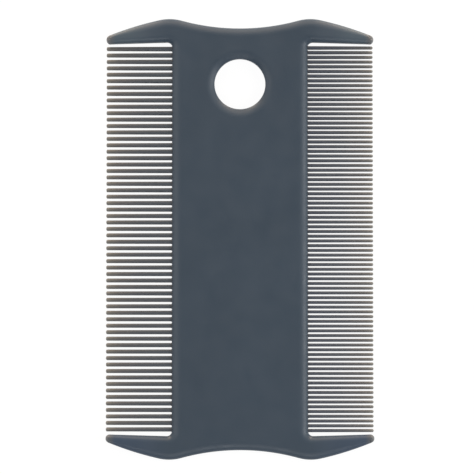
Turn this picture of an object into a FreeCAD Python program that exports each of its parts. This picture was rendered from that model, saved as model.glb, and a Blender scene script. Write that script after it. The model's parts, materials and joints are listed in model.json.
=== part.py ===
import FreeCAD, Part
import math
import os

# Double-sided flea comb, moulded in one piece and lying flat.
# Frame: +Y along the comb towards the end with the hanging hole, +X towards the fine teeth,
# +Z up through the thickness. The origin is at the centre of the underside.
# Every length is in millimetres.
#
# The comb is one moulding. It is divided here where its functions change: the spine plate,
# four guard arms, and two rows of teeth in which every tooth is a solid of its own.
# Neighbouring regions meet face to face.

# Overall sizes
overall_length = 90.0
overall_width = 54.6
plate_thickness = 3.0

# End contour: a concave valley between two humps, then the gently curved edge of each guard arm
valley_depth = 1.93
hump_x = 14.4
hump_radius = 9.5
guard_slope_deg = 12.7
guard_edge_radius = 62.0

# Spine and guard arms
spine_width = 27.72
guard_inner_y_at_spine = 40.26
guard_inner_y_at_tip = 39.86
slot_corner_radius = 0.9
guard_tip_radius = 0.68
edge_radius = 0.55

# Hanging hole
hole_radius = 5.2
hole_y = 31.64
hole_rim_radius = 1.1

# Teeth: width lies along Y, thickness along Z, and both shrink from the root to the tip
tooth_root_thickness = 1.8
tooth_tip_thickness = 0.9

coarse_count = 60
coarse_pitch = 1.317
coarse_first_y = 38.85
coarse_root_width = 0.87
coarse_tip_width = 0.83
coarse_tip_x = 27.3

fine_count = 82
fine_pitch = 0.965
fine_first_y = 39.08
fine_root_width = 0.645
fine_tip_width = 0.62
fine_tip_x = 27.2

# Worked out from the dimensions above
half_length = overall_length / 2
half_width = overall_width / 2
half_thickness = plate_thickness / 2
spine_edge_x = spine_width / 2
guard_root_x = spine_edge_x + slot_corner_radius
valley_y = half_length - valley_depth

LENGTH_TOLERANCE = 1e-6
Z_AXIS = FreeCAD.Vector(0, 0, 1)
ORIGIN = FreeCAD.Vector(0, 0, 0)


def point(x, y, z=0.0):
    return FreeCAD.Vector(x, y, z)


def polar(centre, radius, angle):
    """Point at an angle from +Y, turning towards +X."""
    return centre + FreeCAD.Vector(radius * math.sin(angle), radius * math.cos(angle), 0)


def arc_edge(centre, radius, start_angle, end_angle):
    """Arc in the XY plane between two angles measured from +Y towards +X."""
    middle_angle = (start_angle + end_angle) / 2
    start = polar(centre, radius, start_angle)
    middle = polar(centre, radius, middle_angle)
    end = polar(centre, radius, end_angle)
    return Part.Arc(start, middle, end).toShape()


def quarter_outline():
    """Outline of the spine and one guard arm in the quadrant +X +Y, with sharp corners."""
    hump_centre = point(hump_x, half_length - hump_radius)

    # The valley's arc is centred on the middle line and touches the hump's circle.
    drop = valley_y - hump_centre.y
    valley_radius = (hump_x ** 2 + drop ** 2 - hump_radius ** 2) / (2 * (hump_radius - drop))
    valley_centre = point(0, valley_y + valley_radius)
    joint_angle = math.atan2(hump_x, valley_centre.y - hump_centre.y)

    # The guard's long edge touches the hump's circle where its slope begins.
    slope_angle = math.radians(guard_slope_deg)
    shoulder = polar(hump_centre, hump_radius, slope_angle)
    guard_centre = polar(shoulder, -guard_edge_radius, slope_angle)
    tip_angle = math.asin((half_width - guard_centre.x) / guard_edge_radius)
    tip_outer = polar(guard_centre, guard_edge_radius, tip_angle)

    tip_inner = point(half_width, guard_inner_y_at_tip)
    slot_corner = point(spine_edge_x, guard_inner_y_at_spine)
    spine_middle = point(spine_edge_x, 0)
    return [
        arc_edge(valley_centre, valley_radius, math.pi, math.pi - joint_angle),
        arc_edge(hump_centre, hump_radius, -joint_angle, slope_angle),
        arc_edge(guard_centre, guard_edge_radius, slope_angle, tip_angle),
        Part.makeLine(tip_outer, tip_inner),
        Part.makeLine(tip_inner, slot_corner),
        Part.makeLine(slot_corner, spine_middle),
    ]


def full_outline():
    """The quarter outline mirrored into all four quadrants, as one closed wire."""
    quarter = quarter_outline()
    half = quarter + [edge.mirror(ORIGIN, FreeCAD.Vector(1, 0, 0)) for edge in quarter]
    edges = half + [edge.mirror(ORIGIN, FreeCAD.Vector(0, 1, 0)) for edge in half]
    return Part.Wire(Part.__sortEdges__(edges))


def is_upright(edge):
    """True for a straight edge along Z that runs through the whole thickness."""
    box = edge.BoundBox
    is_tall = box.ZLength > plate_thickness - LENGTH_TOLERANCE
    return is_tall and max(box.XLength, box.YLength) < LENGTH_TOLERANCE


def slot_corner_edges(solid):
    """The upright edges where the guard arms' inner sides meet the spine."""
    found = []
    for edge in solid.Edges:
        centre = edge.BoundBox.Center
        from_spine = abs(abs(centre.x) - spine_edge_x)
        from_guard = abs(abs(centre.y) - guard_inner_y_at_spine)
        if is_upright(edge) and max(from_spine, from_guard) < LENGTH_TOLERANCE:
            found.append(edge)
    return found


def guard_tip_edges(solid):
    """The upright edges at the free end of the guard arms."""
    return [
        edge for edge in solid.Edges
        if is_upright(edge) and abs(edge.BoundBox.Center.x) > half_width - LENGTH_TOLERANCE
    ]


def rim_edges(solid, of_hole):
    """Edges that lie in the top or bottom face: those of the hole, or those of the outline."""
    hole_centre = point(0, hole_y)
    found = []
    for edge in solid.Edges:
        box = edge.BoundBox
        if box.ZLength > LENGTH_TOLERANCE:
            continue
        reach = math.hypot(box.Center.x - hole_centre.x, box.Center.y - hole_centre.y)
        at_hole = reach < LENGTH_TOLERANCE and box.XLength < 2 * hole_radius + LENGTH_TOLERANCE
        if at_hole == of_hole:
            found.append(edge)
    return found


def make_blank():
    """Spine and guard arms together, with the hole and every edge rounded."""
    face = Part.Face(full_outline())
    blank = face.extrude(Z_AXIS * plate_thickness)
    hole = Part.makeCylinder(hole_radius, plate_thickness, point(0, hole_y))
    blank = blank.cut(hole).removeSplitter()
    blank = blank.makeFillet(guard_tip_radius, guard_tip_edges(blank))
    blank = blank.makeFillet(slot_corner_radius, slot_corner_edges(blank))
    blank = blank.makeFillet(edge_radius, rim_edges(blank, of_hole=False))
    return blank.makeFillet(hole_rim_radius, rim_edges(blank, of_hole=True))


def make_spine_plate(blank):
    """Middle of the blank, as wide as the spine with its slot corners."""
    width = 2 * guard_root_x
    corner = point(-guard_root_x, -half_length)
    return blank.common(Part.makeBox(width, overall_length, plate_thickness, corner))


def make_guard_arm(blank, x_sign, y_sign):
    """The end arm in one quadrant, from its root to its tip."""
    reach = half_width - guard_root_x
    corner_x = guard_root_x if x_sign > 0 else -half_width
    corner_y = 0 if y_sign > 0 else -half_length
    corner = point(corner_x, corner_y)
    return blank.common(Part.makeBox(reach, half_length, plate_thickness, corner))


def tapered_profile(root_size, tip_size, tip_x, place):
    """Face of a bar that narrows from the spine to a round tip; place turns (x, offset) to a point."""
    tip_start_x = tip_x - tip_size / 2
    root_low = place(spine_edge_x, -root_size / 2)
    tip_low = place(tip_start_x, -tip_size / 2)
    tip_end = place(tip_x, 0)
    tip_high = place(tip_start_x, tip_size / 2)
    root_high = place(spine_edge_x, root_size / 2)
    edges = [
        Part.makeLine(root_low, tip_low),
        Part.Arc(tip_low, tip_end, tip_high).toShape(),
        Part.makeLine(tip_high, root_high),
        Part.makeLine(root_high, root_low),
    ]
    return Part.Face(Part.Wire(edges))


def make_tooth(root_width, tip_width, tip_x):
    """One tooth on the +X side at y = 0: its plan view and its side view, intersected."""
    plan = tapered_profile(root_width, tip_width, tip_x, lambda x, offset: point(x, offset))
    side = tapered_profile(
        tooth_root_thickness, tooth_tip_thickness, tip_x,
        lambda x, offset: point(x, -root_width, half_thickness + offset))
    upright_bar = plan.extrude(Z_AXIS * plate_thickness)
    flat_bar = side.extrude(FreeCAD.Vector(0, 2 * root_width, 0))
    return upright_bar.common(flat_bar).Solids[0]


def make_tooth_row(tooth, count, pitch, first_y):
    """Copies of one tooth, evenly spaced from first_y towards -Y."""
    row = []
    for index in range(count):
        step = FreeCAD.Vector(0, first_y - index * pitch, 0)
        row.append(tooth.translated(step))
    return Part.makeCompound(row)


def make_coarse_teeth():
    tooth = make_tooth(coarse_root_width, coarse_tip_width, coarse_tip_x)
    mirrored = tooth.mirror(ORIGIN, FreeCAD.Vector(1, 0, 0))
    return make_tooth_row(mirrored, coarse_count, coarse_pitch, coarse_first_y)


def make_fine_teeth():
    tooth = make_tooth(fine_root_width, fine_tip_width, fine_tip_x)
    return make_tooth_row(tooth, fine_count, fine_pitch, fine_first_y)


def build_nodes():
    """Every node's name and shape."""
    blank = make_blank()
    return {
        "spine_plate": make_spine_plate(blank),
        "guard_coarse_top": make_guard_arm(blank, -1, 1),
        "guard_coarse_bottom": make_guard_arm(blank, -1, -1),
        "guard_fine_top": make_guard_arm(blank, 1, 1),
        "guard_fine_bottom": make_guard_arm(blank, 1, -1),
        "coarse_teeth": make_coarse_teeth(),
        "fine_teeth": make_fine_teeth(),
    }


os.makedirs("parts", exist_ok=True)
for name, shape in build_nodes().items():
    shape.exportStep(os.path.join("parts", name + ".step"))
    print(name, "valid", shape.isValid(), "solids", len(shape.Solids),
          "volume", round(shape.Volume, 2))
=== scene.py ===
import json
import math

import bmesh
import bpy
import numpy as np
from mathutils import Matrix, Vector


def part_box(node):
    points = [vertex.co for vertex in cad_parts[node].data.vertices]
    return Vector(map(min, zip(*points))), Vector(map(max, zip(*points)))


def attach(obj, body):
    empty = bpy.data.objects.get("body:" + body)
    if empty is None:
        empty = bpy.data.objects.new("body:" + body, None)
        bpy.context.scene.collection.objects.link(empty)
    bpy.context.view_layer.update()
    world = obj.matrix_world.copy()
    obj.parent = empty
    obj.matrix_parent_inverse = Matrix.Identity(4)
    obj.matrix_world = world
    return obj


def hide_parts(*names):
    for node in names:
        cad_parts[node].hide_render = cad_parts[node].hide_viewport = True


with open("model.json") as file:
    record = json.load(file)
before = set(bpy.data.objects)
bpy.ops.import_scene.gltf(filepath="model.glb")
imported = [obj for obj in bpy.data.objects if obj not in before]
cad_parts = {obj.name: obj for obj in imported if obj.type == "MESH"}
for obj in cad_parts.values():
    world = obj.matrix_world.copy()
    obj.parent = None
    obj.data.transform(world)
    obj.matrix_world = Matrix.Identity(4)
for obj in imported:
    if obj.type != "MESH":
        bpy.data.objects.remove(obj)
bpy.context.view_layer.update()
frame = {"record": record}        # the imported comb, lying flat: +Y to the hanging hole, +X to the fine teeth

# The visual comb is built in millimetres and written to the meshes in metres.
MM = 0.001
CUT_TOLERANCE = 1e-8         # metres
BODY = "root"

# ---------------------------------------------------------------- sizes read from the frame


def box_mm(node):
    low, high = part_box(node)
    return np.array(low) / MM, np.array(high) / MM


_, spine_high = box_mm("spine_plate")
guard_low, guard_high = box_mm("guard_fine_top")
coarse_low, coarse_high = box_mm("coarse_teeth")
fine_low, fine_high = box_mm("fine_teeth")

HALF_LENGTH = spine_high[1]
HALF_WIDTH = guard_high[0]
THICKNESS = spine_high[2]
MIDDLE_Z = THICKNESS / 2
GUARD_ROOT_X = spine_high[0]
SPINE_EDGE_X = fine_low[0]

hang_hole = next(m for m in frame["record"]["mounts"] if m["name"] == "hang_hole")
HOLE_Y = hang_hole["pos_m"][1] / MM
HOLE_RADIUS = hang_hole["dims"]["r_mm"]

# ---------------------------------------------------------------- shape of the outline, mm

VALLEY_DEPTH = 1.93
HUMP_X = 14.4
HUMP_RADIUS = 9.5
GUARD_SLOPE = math.radians(12.7)
GUARD_EDGE_RADIUS = 62.0
GUARD_INNER_Y_AT_SPINE = 40.26
GUARD_INNER_Y_AT_TIP = guard_low[1]
GUARD_TIP_OUTER_RADIUS = 0.95
GUARD_TIP_INNER_RADIUS = 0.68
SLOT_CORNER_RADIUS = 1.05

# Edge rounding: how far it reaches in from the outline, how far down from the flat face, the
# width of the narrow ledge that lies outside it, level with the teeth, and how steeply it ends:
# 0 is a shallow bevel that curves evenly and 1 is a full quarter round. Where there is a ledge,
# the rounding ends in the curve that LEDGED_REACH_POWER and SIDE_CURVE_POWER give instead.
END_ROUNDING = (1.8, 1.1, 0.0, 1.0)
GUARD_TIP_ROUNDING = (0.6, 0.45, 0.0, 0.5)
SLOT_CORNER_ROUNDING = (1.5, 0.6, 0.15, 1.0)
SPINE_SIDE_ROUNDING = (2.5, 0.6, 0.15, 1.0)
HOLE_ROUNDING = (1.8, 0.62, 0.0, 0.0)
ROUNDING_STEPS = 12
SETTLE_WIDTH = 0.05          # narrow flat ring that ends each rounding
LEDGED_REACH_POWER = 1.3
SIDE_CURVE_POWER = 3.3
LEDGE_EDGE_RADIUS = 0.07
LEDGE_EDGE_SHARE = 0.3       # share of that radius by which the edge's middle lies in and down
LEDGE_DROP = 0.02            # the ledge lies this much below the tops of the tooth roots
LEDGE_TO_ROUNDING = 0.02     # gap between the last ring on the ledge and the rounding

# The raised line that the two mould halves leave at half the thickness
PARTING_HEIGHT = 0.025
PARTING_HALF_WIDTH = 0.035

SAME_POINT = 1e-6            # outline points nearer to each other than this are one, in mm

# ---------------------------------------------------------------- outline


def mix(a, b, t):
    return a + (b - a) * t


def polar(centre, radius, angle):
    """Point at an angle from +Y towards +X."""
    return np.array([centre[0] + radius * math.sin(angle), centre[1] + radius * math.cos(angle)])


def arc(centre, radius, start, end, step):
    """Points along an arc, about one step apart."""
    count = max(2, int(round(abs(end - start) * radius / step)))
    return [polar(centre, radius, mix(start, end, i / count)) for i in range(count + 1)]


def straight(start, end, step):
    length = math.dist(start, end)
    count = max(1, int(round(length / step)))
    return [mix(np.array(start), np.array(end), i / count) for i in range(count + 1)]


def rounded_corner(before, corner, after, radius, count=8):
    """Points of the arc that touches both sides of a corner."""
    to_before = (before - corner) / math.dist(before, corner)
    to_after = (after - corner) / math.dist(after, corner)
    half_angle = math.acos(float(np.clip(to_before @ to_after, -1, 1))) / 2
    bisector = (to_before + to_after) / np.linalg.norm(to_before + to_after)
    centre = corner + bisector * radius / math.sin(half_angle)
    reach = radius / math.tan(half_angle)
    first = corner + to_before * reach
    last = corner + to_after * reach
    start = math.atan2(first[0] - centre[0], first[1] - centre[1])
    end = math.atan2(last[0] - centre[0], last[1] - centre[1])
    turn = (end - start + math.pi) % (2 * math.pi) - math.pi
    return [polar(centre, radius, start + turn * i / count) for i in range(count + 1)]


def quarter_outline():
    """The outline in the quadrant +X +Y, from the end valley round to the spine's side.

    Each entry is (point, (rounding reach, rounding drop, ledge width, steepness)).
    """
    valley_y = HALF_LENGTH - VALLEY_DEPTH
    hump_centre = np.array([HUMP_X, HALF_LENGTH - HUMP_RADIUS])
    drop = valley_y - hump_centre[1]
    valley_radius = (HUMP_X ** 2 + drop ** 2 - HUMP_RADIUS ** 2) / (2 * (HUMP_RADIUS - drop))
    valley_centre = np.array([0.0, valley_y + valley_radius])
    joint = math.atan2(HUMP_X, valley_centre[1] - hump_centre[1])

    shoulder = polar(hump_centre, HUMP_RADIUS, GUARD_SLOPE)
    guard_centre = polar(shoulder, -GUARD_EDGE_RADIUS, GUARD_SLOPE)
    tip_angle = math.asin((HALF_WIDTH - guard_centre[0]) / GUARD_EDGE_RADIUS)
    tip_outer = polar(guard_centre, GUARD_EDGE_RADIUS, tip_angle)
    tip_inner = np.array([HALF_WIDTH, GUARD_INNER_Y_AT_TIP])
    slot_corner = np.array([SPINE_EDGE_X, GUARD_INNER_Y_AT_SPINE])
    spine_middle = np.array([SPINE_EDGE_X, 0.0])
    before_tip = tip_outer - np.array([math.cos(tip_angle), -math.sin(tip_angle)])

    outer_tip_arc = rounded_corner(before_tip, tip_outer, tip_inner, GUARD_TIP_OUTER_RADIUS)
    inner_tip_arc = rounded_corner(tip_outer, tip_inner, slot_corner, GUARD_TIP_INNER_RADIUS)
    slot_arc = rounded_corner(
        tip_inner, slot_corner, spine_middle, SLOT_CORNER_RADIUS, count=12)
    trimmed_tip_angle = tip_angle - math.dist(outer_tip_arc[0], tip_outer) / GUARD_EDGE_RADIUS

    # Each stretch: its points, the rounding at its start and end, and how the one gives way to
    # the other. Below a power of 1 the change comes early, and above it the change comes late.
    stretches = [
        (arc(valley_centre, valley_radius, math.pi, math.pi - joint, step=0.4),
         END_ROUNDING, END_ROUNDING, 1),
        (arc(hump_centre, HUMP_RADIUS, -joint, GUARD_SLOPE, step=0.2),
         END_ROUNDING, END_ROUNDING, 1),
        (arc(guard_centre, GUARD_EDGE_RADIUS, GUARD_SLOPE, trimmed_tip_angle, step=0.3),
         END_ROUNDING, GUARD_TIP_ROUNDING, 1.5),
        (outer_tip_arc, GUARD_TIP_ROUNDING, GUARD_TIP_ROUNDING, 1),
        (inner_tip_arc, GUARD_TIP_ROUNDING, GUARD_TIP_ROUNDING, 1),
        (straight(inner_tip_arc[-1], slot_arc[0], step=0.25),
         GUARD_TIP_ROUNDING, SLOT_CORNER_ROUNDING, 0.5),
        (slot_arc, SLOT_CORNER_ROUNDING, SPINE_SIDE_ROUNDING, 1),
        (straight(slot_arc[-1], spine_middle, step=1.0),
         SPINE_SIDE_ROUNDING, SPINE_SIDE_ROUNDING, 1),
    ]
    entries = []
    for points, first, last, power in stretches:
        for index, place in enumerate(points):
            share = (index / (len(points) - 1)) ** power
            rounding = mix(np.array(first), np.array(last), share)
            if not entries or math.dist(entries[-1][0], place) > SAME_POINT:
                entries.append((place, rounding))
    return entries


def mirrored(entries, x_sign, y_sign):
    flip = np.array([x_sign, y_sign])
    return [(place * flip, rounding) for place, rounding in entries]


def comb_outline():
    """The whole outline, clockwise as seen from above, as points and roundings."""
    quarter = quarter_outline()
    right = quarter + mirrored(quarter, 1, -1)[::-1][1:]
    left = mirrored(quarter, -1, -1)[1:] + mirrored(quarter, -1, 1)[::-1][1:-1]
    entries = right + left
    return np.array([e[0] for e in entries]), np.array([e[1] for e in entries])


def hole_outline(count=96):
    """The hole, anticlockwise, so that the material lies on the same hand as on the outline."""
    angles = -np.arange(count) / count * 2 * math.pi
    points = [polar((0.0, HOLE_Y), HOLE_RADIUS, angle) for angle in angles]
    return np.array(points), np.tile(np.array(HOLE_ROUNDING), (count, 1))


# ---------------------------------------------------------------- spine plate and guard arms


def inward_normals(points):
    """Unit normals into the material, which lies to the right of the way the points run."""
    tangent = np.roll(points, -1, axis=0) - np.roll(points, 1, axis=0)
    tangent /= np.linalg.norm(tangent, axis=1)[:, None]
    return np.stack([tangent[:, 1], -tangent[:, 0]], axis=1)


def rounding_shape(step, has_ledge, steepness):
    """Share of the reach left and share of the drop left at one ring of the rounding.

    Above a ledge the surface bends down ever more steeply.
    """
    share = step / ROUNDING_STEPS
    quarter = math.pi / 2 * share
    left = 1 - share ** LEDGED_REACH_POWER
    above_ledge = (left, left ** SIDE_CURVE_POWER)
    round_left = math.cos(quarter)
    rounded = (round_left, mix(round_left ** 2, 1 - math.sin(quarter), steepness))
    return mix(np.array(rounded), np.array(above_ledge), has_ledge)


def wall_sections(rounding):
    """(reach in from the outline, height) of each ring, from the lower flat face to the upper."""
    reach, drop, ledge, steepness = rounding.T
    level = np.ones(len(reach))
    has_ledge = np.clip(ledge / SPINE_SIDE_ROUNDING[2], 0, 1)
    edge_z = THICKNESS - drop - LEDGE_DROP * has_ledge
    corner = np.minimum(LEDGE_EDGE_RADIUS, ledge / 2)
    upper = [
        (0 * level, (MIDDLE_Z + PARTING_HALF_WIDTH) * level),
        (PARTING_HEIGHT * level, (MIDDLE_Z + 2 * PARTING_HALF_WIDTH) * level),
        (PARTING_HEIGHT * level, edge_z - corner),
        (PARTING_HEIGHT + LEDGE_EDGE_SHARE * corner, edge_z - LEDGE_EDGE_SHARE * corner),
        (PARTING_HEIGHT + corner, edge_z),
        (PARTING_HEIGHT + np.maximum(ledge - LEDGE_TO_ROUNDING, corner), edge_z),
    ]
    for step in range(ROUNDING_STEPS + 1):
        left = np.array([rounding_shape(step, *shares) for shares in zip(has_ledge, steepness)])
        inset = np.maximum(ledge + reach * (1 - left[:, 0]), PARTING_HEIGHT + ledge)
        upper.append((inset, THICKNESS - drop * left[:, 1]))
    upper.append((ledge + reach + SETTLE_WIDTH, THICKNESS * level))
    lower = [(inset, THICKNESS - height) for inset, height in reversed(upper)]
    return lower + upper


def add_wall(bm, points, rounding):
    """Adds the wall round an outline and returns its lowest and highest ring of vertices."""
    normals = inward_normals(points)
    rings = []
    for inset, height in wall_sections(rounding):
        places = points + normals * inset[:, None]
        rings.append([bm.verts.new((x * MM, y * MM, z * MM)) for (x, y), z in zip(places, height)])
    count = len(points)
    for low, high in zip(rings, rings[1:]):
        for i in range(count):
            j = (i + 1) % count
            bm.faces.new((low[i], high[i], high[j], low[j]))
    return rings[0], rings[-1]


def loop_edges(bm, ring):
    return [bm.edges.get((a, b)) for a, b in zip(ring, ring[1:] + ring[:1])]


def build_blank():
    """Spine and guard arms as one closed bmesh, with every edge rounded."""
    bm = bmesh.new()
    outer_low, outer_high = add_wall(bm, *comb_outline())
    hole_low, hole_high = add_wall(bm, *hole_outline())
    for outer, inner in ((outer_low, hole_low), (outer_high, hole_high)):
        edges = loop_edges(bm, outer) + loop_edges(bm, inner)
        bmesh.ops.triangle_fill(bm, use_beauty=True, use_dissolve=False, edges=edges)
    bmesh.ops.recalc_face_normals(bm, faces=bm.faces)
    for face in bm.faces:
        face.smooth = True
    return bm


def cut(bm, place, normal):
    """Removes what lies beyond a plane and closes the cut with flat faces."""
    geometry = bm.verts[:] + bm.edges[:] + bm.faces[:]
    result = bmesh.ops.bisect_plane(
        bm, geom=geometry, dist=CUT_TOLERANCE, plane_co=place, plane_no=normal, clear_outer=True)
    rim = [e for e in result["geom_cut"] if isinstance(e, bmesh.types.BMEdge) and e.is_boundary]
    for face in bmesh.ops.holes_fill(bm, edges=rim, sides=0)["faces"]:
        face.smooth = False
        for edge in face.edges:
            edge.smooth = False


def keep_half(bm, y_sign):
    """Keeps the island on one side of y = 0. The islands never reach that plane."""
    unwanted = [v for v in bm.verts if v.co.y * y_sign < 0]
    bmesh.ops.delete(bm, geom=unwanted, context="VERTS")


def make_object(name, bm):
    mesh = bpy.data.meshes.new(name)
    bm.to_mesh(mesh)
    bm.free()
    piece = bpy.data.objects.new(name, mesh)
    bpy.context.scene.collection.objects.link(piece)
    return piece


def add_piece(name, bm, node, material):
    """A finished mesh that stands for one CAD node."""
    piece = make_object(name, bm)
    piece.data.materials.append(material)
    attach(piece, BODY)
    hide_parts(node)
    return piece


def build_plate_pieces(spine_material, guard_painted_light_materials):
    blank = build_blank()
    root = GUARD_ROOT_X * MM

    spine = blank.copy()
    cut(spine, (root, 0, 0), (1, 0, 0))
    cut(spine, (-root, 0, 0), (-1, 0, 0))
    add_piece("spine_plate_moulding", spine, "spine_plate", spine_material)

    for side, x_sign in (("coarse", -1), ("fine", 1)):
        for end, y_sign in (("top", 1), ("bottom", -1)):
            arm = blank.copy()
            cut(arm, (x_sign * root, 0, 0), (-x_sign, 0, 0))
            keep_half(arm, y_sign)
            node = f"guard_{side}_{end}"
            add_piece(node + "_moulding", arm, node, guard_painted_light_materials[end])
    blank.free()


# ---------------------------------------------------------------- teeth

TOOTH_ROOT_THICKNESS = fine_high[2] - fine_low[2]
TOOTH_TIP_THICKNESS = 0.9
THINNING_POWER = 1.25        # above 1, most of the thinning comes near the tip
BURIED_LENGTH = 0.4          # how far a tooth runs on inside the spine
FLARE_SHARE_OF_GAP = 0.49    # radius of the flare at a tooth's root
ROOT_FLARE_STEPS = 4
BODY_STATIONS = (0.2, 0.45, 0.7, 0.88, 1.0)     # from the end of the flare to the round tip
TIP_STEPS = 5
DRAFT = 0.035                # how much narrower a tooth is at its top edge than at half its height
CORNER_STEPS = 3
CORNER_SHARE_OF_WIDTH = 0.72
CORNER_SHARE_OF_THICKNESS = 0.6

# Tip roundness is the length of the round tip as a share of half the tooth's width
COARSE = {
    "node": "coarse_teeth", "side": -1, "count": 60, "low": coarse_low, "high": coarse_high,
    "root_width": 0.87, "tip_width": 0.83, "tip_roundness": 0.6,
}
FINE = {
    "node": "fine_teeth", "side": 1, "count": 82, "low": fine_low, "high": fine_high,
    "root_width": 0.645, "tip_width": 0.62, "tip_roundness": 0.85,
}


def tooth_section(half_width, half_thickness):
    """Cross-section of a tooth: a rounded bar, a little wider where the mould halves meet."""
    top_half_width = half_width * (1 - DRAFT)
    corner = min(CORNER_SHARE_OF_WIDTH * top_half_width,
                 CORNER_SHARE_OF_THICKNESS * half_thickness)
    quarter = [(half_width, 0.0)]
    for step in range(CORNER_STEPS + 1):
        angle = math.pi / 2 * step / CORNER_STEPS
        quarter.append((
            top_half_width - corner * (1 - math.cos(angle)),
            half_thickness - corner * (1 - math.sin(angle)),
        ))
    upper = quarter + [(-y, z) for y, z in reversed(quarter)]
    lower = [(y, -z) for y, z in reversed(upper[1:-1])]
    return np.array(upper + lower)


def tooth_stations(row, gap):
    """(x, half width, half thickness) along one tooth, from inside the spine to its tip."""
    tip_x = row["tip_x"]
    length = tip_x - SPINE_EDGE_X
    tip_half_width = row["tip_width"] / 2
    flare = FLARE_SHARE_OF_GAP * gap

    def half_width_at(x):
        return mix(row["root_width"] / 2, tip_half_width, (x - SPINE_EDGE_X) / length)

    def half_thickness_at(x):
        share = max(0.0, (x - SPINE_EDGE_X) / length)
        return mix(TOOTH_ROOT_THICKNESS, TOOTH_TIP_THICKNESS, share ** THINNING_POWER) / 2

    root_half_width = half_width_at(SPINE_EDGE_X) + flare
    buried_half_thickness = TOOTH_ROOT_THICKNESS / 2 - 2 * LEDGE_DROP
    stations = [(SPINE_EDGE_X - BURIED_LENGTH, root_half_width, buried_half_thickness)]
    for step in range(ROOT_FLARE_STEPS + 1):
        angle = math.pi / 2 * step / ROOT_FLARE_STEPS
        x = SPINE_EDGE_X + flare * (1 - math.cos(angle))
        half_width = half_width_at(x) + flare * (1 - math.sin(angle))
        stations.append((x, half_width, half_thickness_at(x)))

    round_length = row["tip_roundness"] * tip_half_width
    round_start = tip_x - round_length
    body_start = stations[-1][0]
    for share in BODY_STATIONS:
        x = mix(body_start, round_start, share)
        stations.append((x, half_width_at(x), half_thickness_at(x)))
    end_half_width = stations[-1][1]
    end_half_thickness = stations[-1][2]
    for step in range(1, TIP_STEPS):
        angle = math.pi / 2 * step / TIP_STEPS
        scale = math.cos(angle)
        x = round_start + round_length * math.sin(angle)
        stations.append((x, end_half_width * scale, end_half_thickness * scale))
    return stations


def add_tooth(bm, row, stations, centre_y):
    rings = []
    for x, half_width, half_thickness in stations:
        section = tooth_section(half_width, half_thickness)
        rings.append([
            bm.verts.new((row["side"] * x * MM, (centre_y + y) * MM, (MIDDLE_Z + z) * MM))
            for y, z in section
        ])
    count = len(rings[0])
    for near, far in zip(rings, rings[1:]):
        for i in range(count):
            j = (i + 1) % count
            bm.faces.new((near[i], near[j], far[j], far[i]))
    bm.faces.new(rings[0][::-1])
    tip = bm.verts.new((row["side"] * row["tip_x"] * MM, centre_y * MM, MIDDLE_Z * MM))
    for i in range(count):
        bm.faces.new((rings[-1][i], rings[-1][(i + 1) % count], tip))


def build_tooth_row(row, material):
    first_y = row["high"][1] - row["root_width"] / 2
    last_y = row["low"][1] + row["root_width"] / 2
    pitch = (first_y - last_y) / (row["count"] - 1)
    row["tip_x"] = max(abs(row["low"][0]), abs(row["high"][0]))
    stations = tooth_stations(row, pitch - row["root_width"])
    bm = bmesh.new()
    for index in range(row["count"]):
        add_tooth(bm, row, stations, first_y - index * pitch)
    bmesh.ops.recalc_face_normals(bm, faces=bm.faces)
    for face in bm.faces:
        face.smooth = True
    add_piece(row["node"] + "_moulding", bm, row["node"], material)


# ---------------------------------------------------------------- materials

# The range that a noise texture's values mostly keep to
NOISE_LOW = 0.3
NOISE_HIGH = 0.7

# Noise scales are in waves per metre, and bump heights in metres
MOTTLING_SCALE = 70.0
MOTTLING_SPREAD = 0.035
PATCH_SCALE = 260.0
ROUGHNESS_RANGE = (0.40, 0.50)
WAVINESS_SCALE = 180.0
WAVINESS_HEIGHT = 0.00003
GRAIN_SCALE = 6500.0
GRAIN_HEIGHT = 0.0000035


def new_material(name):
    material = bpy.data.materials.new(name)
    material.use_nodes = True
    nodes = material.node_tree.nodes
    return material, nodes, material.node_tree.links, nodes["Principled BSDF"]


def noise(nodes, links, coordinate, scale, detail):
    node = nodes.new("ShaderNodeTexNoise")
    node.inputs["Scale"].default_value = scale
    node.inputs["Detail"].default_value = detail
    links.new(coordinate, node.inputs["Vector"])
    return node.outputs["Fac"]


def colour_ramp(nodes, links, factor, stops):
    """A colour that runs through (position, colour) stops."""
    node = nodes.new("ShaderNodeValToRGB")
    elements = node.color_ramp.elements
    while len(elements) < len(stops):
        elements.new(0.5)
    for element, (position, colour) in zip(elements, stops):
        element.position = position
        element.color = (*colour, 1)
    links.new(factor, node.inputs["Fac"])
    return node.outputs["Color"]


def map_range(nodes, links, value, low, high, from_low=NOISE_LOW, from_high=NOISE_HIGH):
    node = nodes.new("ShaderNodeMapRange")
    node.inputs["From Min"].default_value = from_low
    node.inputs["From Max"].default_value = from_high
    node.inputs["To Min"].default_value = low
    node.inputs["To Max"].default_value = high
    links.new(value, node.inputs["Value"])
    return node.outputs["Result"]


def reach_along_width(nodes, links, place):
    """0 at the spine's edge and 1 at the comb's side, on either side of the middle line."""
    split = nodes.new("ShaderNodeSeparateXYZ")
    links.new(place, split.inputs["Vector"])
    size = nodes.new("ShaderNodeMath")
    size.operation = "ABSOLUTE"
    links.new(split.outputs["X"], size.inputs[0])
    return map_range(nodes, links, size.outputs["Value"], 0, 1, SPINE_EDGE_X * MM, HALF_WIDTH * MM)


def multiply_colour(nodes, links, colour, factor):
    node = nodes.new("ShaderNodeVectorMath")
    node.operation = "SCALE"
    links.new(colour, node.inputs[0])
    links.new(factor, node.inputs["Scale"])
    return node.outputs["Vector"]


def bump(nodes, links, height, distance, normal=None):
    node = nodes.new("ShaderNodeBump")
    node.inputs["Strength"].default_value = 1.0
    node.inputs["Distance"].default_value = distance
    links.new(height, node.inputs["Height"])
    if normal is not None:
        links.new(normal, node.inputs["Normal"])
    return node.outputs["Normal"]
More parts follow.
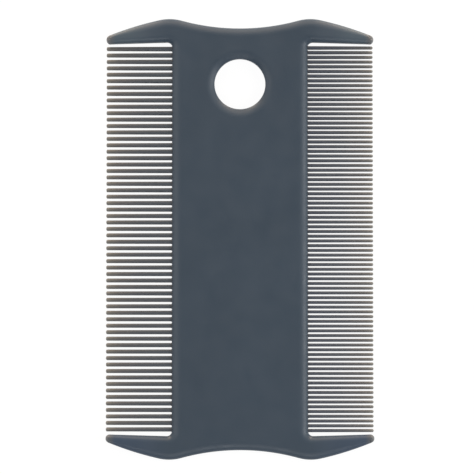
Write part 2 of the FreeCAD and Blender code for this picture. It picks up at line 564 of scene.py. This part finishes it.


# Colour across the width, with painted light in it. The guard and tooth tips are painted lighter
# and less blue, a painted glow and painted highlight where the plastic is thin, and the tooth
# roots are painted darker, painted shade in the crease at the spine. Each list runs from the
# spine's edge (0) to the comb's side (1). The two guards beside the hole are painted a shade
# lighter than the others, a painted sheen, so the two ends are lit and shaded copies of one plastic.
PLATE_COLOUR = (0.0428, 0.0655, 0.0945)
# Painted sheen over the guard and a painted glow and highlight at its tip
TOP_GUARD_PAINTED_LIGHT_STOPS = (
    (0.06, PLATE_COLOUR), (0.35, (0.058, 0.082, 0.112)), (0.65, (0.071, 0.101, 0.130)),
    (0.86, (0.074, 0.105, 0.134)), (0.93, (0.108, 0.120, 0.134)), (0.97, (0.150, 0.156, 0.162)),
    (1.0, (0.206, 0.208, 0.214)),
)
# Painted glow and highlight at the guard's tip
BOTTOM_GUARD_PAINTED_LIGHT_STOPS = (
    (0.06, PLATE_COLOUR), (0.35, (0.046, 0.070, 0.106)), (0.86, (0.048, 0.074, 0.118)),
    (0.93, (0.090, 0.103, 0.120)), (0.97, (0.144, 0.153, 0.160)), (1.0, (0.204, 0.210, 0.218)),
)
# Both tooth lists: painted shade at the root, then a painted glow and highlight towards the tip
COARSE_TOOTH_PAINTED_LIGHT_STOPS = (
    (0.0, (0.046, 0.054, 0.066)), (0.05, (0.070, 0.083, 0.100)), (0.5, (0.083, 0.092, 0.105)),
    (0.8, (0.110, 0.110, 0.114)), (0.92, (0.141, 0.137, 0.128)), (1.0, (0.202, 0.193, 0.176)),
)
FINE_TOOTH_PAINTED_LIGHT_STOPS = (
    (0.0, (0.048, 0.056, 0.070)), (0.05, (0.061, 0.072, 0.098)), (0.5, (0.078, 0.089, 0.108)),
    (0.8, (0.111, 0.113, 0.119)), (0.92, (0.145, 0.144, 0.141)), (1.0, (0.232, 0.226, 0.208)),
)


def moulded_plastic(name, stops):
    """Blue-grey satin plastic: colour across the width from the stops, with any painted light they hold; faint
    flow mottling, an even eroded grain, soft waviness.
    """
    material, nodes, links, shader = new_material(name)
    place = nodes.new("ShaderNodeTexCoord").outputs["Object"]

    # The colour across the width, with the painted light of the stops in it
    colour_with_any_painted_light = colour_ramp(nodes, links, reach_along_width(nodes, links, place), stops)
    clouds = noise(nodes, links, place, MOTTLING_SCALE, detail=4.0)
    mottling = map_range(nodes, links, clouds, 1 - MOTTLING_SPREAD, 1 + MOTTLING_SPREAD)
    links.new(multiply_colour(nodes, links, colour_with_any_painted_light, mottling), shader.inputs["Base Color"])

    patches = noise(nodes, links, place, PATCH_SCALE, detail=3.0)
    links.new(map_range(nodes, links, patches, *ROUGHNESS_RANGE), shader.inputs["Roughness"])

    waves = noise(nodes, links, place, WAVINESS_SCALE, detail=1.0)
    wavy_normal = bump(nodes, links, waves, WAVINESS_HEIGHT)
    grain = noise(nodes, links, place, GRAIN_SCALE, detail=2.0)
    normal = bump(nodes, links, grain, GRAIN_HEIGHT, wavy_normal)
    links.new(normal, shader.inputs["Normal"])
    return material


def table_surface():
    """Pale light-table surface, which glows a little short of white."""
    material, _, _, shader = new_material("pale_table")
    shader.inputs["Base Color"].default_value = (0.08, 0.08, 0.08, 1)
    shader.inputs["Roughness"].default_value = 0.9
    shader.inputs["Specular IOR Level"].default_value = 0.0
    shader.inputs["Emission Color"].default_value = (1, 1, 1, 1)
    shader.inputs["Emission Strength"].default_value = 0.95
    return material


# ---------------------------------------------------------------- floor, lights, camera

# Lengths from here on are in metres, apart from the camera's sensor
FLOOR_RADIUS = 4.0
BACKDROP_HEIGHT = 0.5
WORLD_STRENGTH = 0.115
SOFTBOX_DISTANCE = 0.7
LARGE_SOFTBOX = 0.30
SMALL_SOFTBOX = 0.15
WHITE = (1, 1, 1)
WARM_WHITE = (1.0, 0.80, 0.63)
COOL_WHITE = (0.75, 0.92, 1.0)
FRAME_WIDTH = 96.785 * MM     # width of the camera's view at the comb
CAMERA_DISTANCE = 0.45
CAMERA_CLIP_START = 0.01
SENSOR_WIDTH = 36.0          # mm
CAMERA_TILT = math.radians(2.49)     # leans the view so that the end without the hole is nearer
CAMERA_TARGET = Vector((-0.60 * MM, 0.32 * MM, MIDDLE_Z * MM))


def add_floor():
    """A round white floor whose edge turns up into a low backdrop."""
    bm = bmesh.new()
    bmesh.ops.create_circle(bm, cap_ends=True, segments=64, radius=FLOOR_RADIUS)
    rim = [edge for edge in bm.edges if edge.is_boundary]
    raised = bmesh.ops.extrude_edge_only(bm, edges=rim)["geom"]
    for vertex in raised:
        if isinstance(vertex, bmesh.types.BMVert):
            vertex.co.z += BACKDROP_HEIGHT
    floor = make_object("table_top", bm)
    floor.data.materials.append(table_surface())


def add_softbox(name, direction_deg, elevation_deg, size, power, colour=WHITE):
    """A square softbox that faces the comb. Direction 0 is +X and 90 is +Y."""
    light = bpy.data.lights.new(name, "AREA")
    light.size = size
    light.energy = power
    light.color = colour
    lamp = bpy.data.objects.new(name, light)
    bpy.context.scene.collection.objects.link(lamp)
    a, e = math.radians(direction_deg), math.radians(elevation_deg)
    away = Vector((math.cos(a) * math.cos(e), math.sin(a) * math.cos(e), math.sin(e)))
    lamp.location = away * SOFTBOX_DISTANCE
    lamp.rotation_euler = away.to_track_quat("Z", "Y").to_euler()
    lamp.visible_camera = False


def add_lights():
    world = bpy.data.worlds.new("studio")
    world.use_nodes = True
    background = world.node_tree.nodes["Background"]
    background.inputs["Color"].default_value = (1, 1, 1, 1)
    background.inputs["Strength"].default_value = WORLD_STRENGTH
    bpy.context.scene.world = world
    add_softbox("right_softbox", 0, 41, LARGE_SOFTBOX, 1.85)
    for side, direction in (("right", 64), ("left", 116)):
        add_softbox(f"top_{side}_low_softbox", direction, 8, SMALL_SOFTBOX, 2.64, WARM_WHITE)
        add_softbox(f"top_{side}_softbox", direction, 25, SMALL_SOFTBOX, 0.43, WARM_WHITE)
    add_softbox("top_softbox", 90, 40, LARGE_SOFTBOX, 0.65, WARM_WHITE)
    for side, direction in (("front", -28), ("back", 28)):
        add_softbox(f"right_{side}_low_softbox", direction, 12, SMALL_SOFTBOX, 0.28, COOL_WHITE)
    add_softbox("left_softbox", 180, 32, LARGE_SOFTBOX, 0.56)
    add_softbox("left_high_softbox", 180, 55, LARGE_SOFTBOX, 0.60)
    add_softbox("bottom_softbox", 270, 47, LARGE_SOFTBOX, 0.96)


def add_camera():
    camera = bpy.data.cameras.new("camera")
    camera.sensor_width = SENSOR_WIDTH
    camera.lens = camera.sensor_width * CAMERA_DISTANCE / FRAME_WIDTH
    camera.clip_start = CAMERA_CLIP_START
    rig = bpy.data.objects.new("camera", camera)
    bpy.context.scene.collection.objects.link(rig)
    back = Vector((0, -math.sin(CAMERA_TILT), math.cos(CAMERA_TILT)))
    rig.location = CAMERA_TARGET + back * CAMERA_DISTANCE
    rig.rotation_euler = (CAMERA_TILT, 0, 0)
    bpy.context.scene.camera = rig


# ---------------------------------------------------------------- the scene

plate_stops = ((0.0, PLATE_COLOUR), (1.0, PLATE_COLOUR))
# The top and bottom guards get lit and shaded copies of one plastic, with painted light in their colours
guard_painted_light_materials = {
    "top": moulded_plastic("top_guard_painted_light_plastic", TOP_GUARD_PAINTED_LIGHT_STOPS),
    "bottom": moulded_plastic("bottom_guard_painted_light_plastic", BOTTOM_GUARD_PAINTED_LIGHT_STOPS),
}
build_plate_pieces(moulded_plastic("spine_plastic", plate_stops), guard_painted_light_materials)
# The tooth plastics carry painted root shade and a painted tip glow in their colours
build_tooth_row(COARSE, moulded_plastic("coarse_tooth_painted_light_plastic", COARSE_TOOTH_PAINTED_LIGHT_STOPS))
build_tooth_row(FINE, moulded_plastic("fine_tooth_painted_light_plastic", FINE_TOOTH_PAINTED_LIGHT_STOPS))
add_floor()
add_lights()
add_camera()
bpy.context.scene.view_settings.view_transform = "Standard"
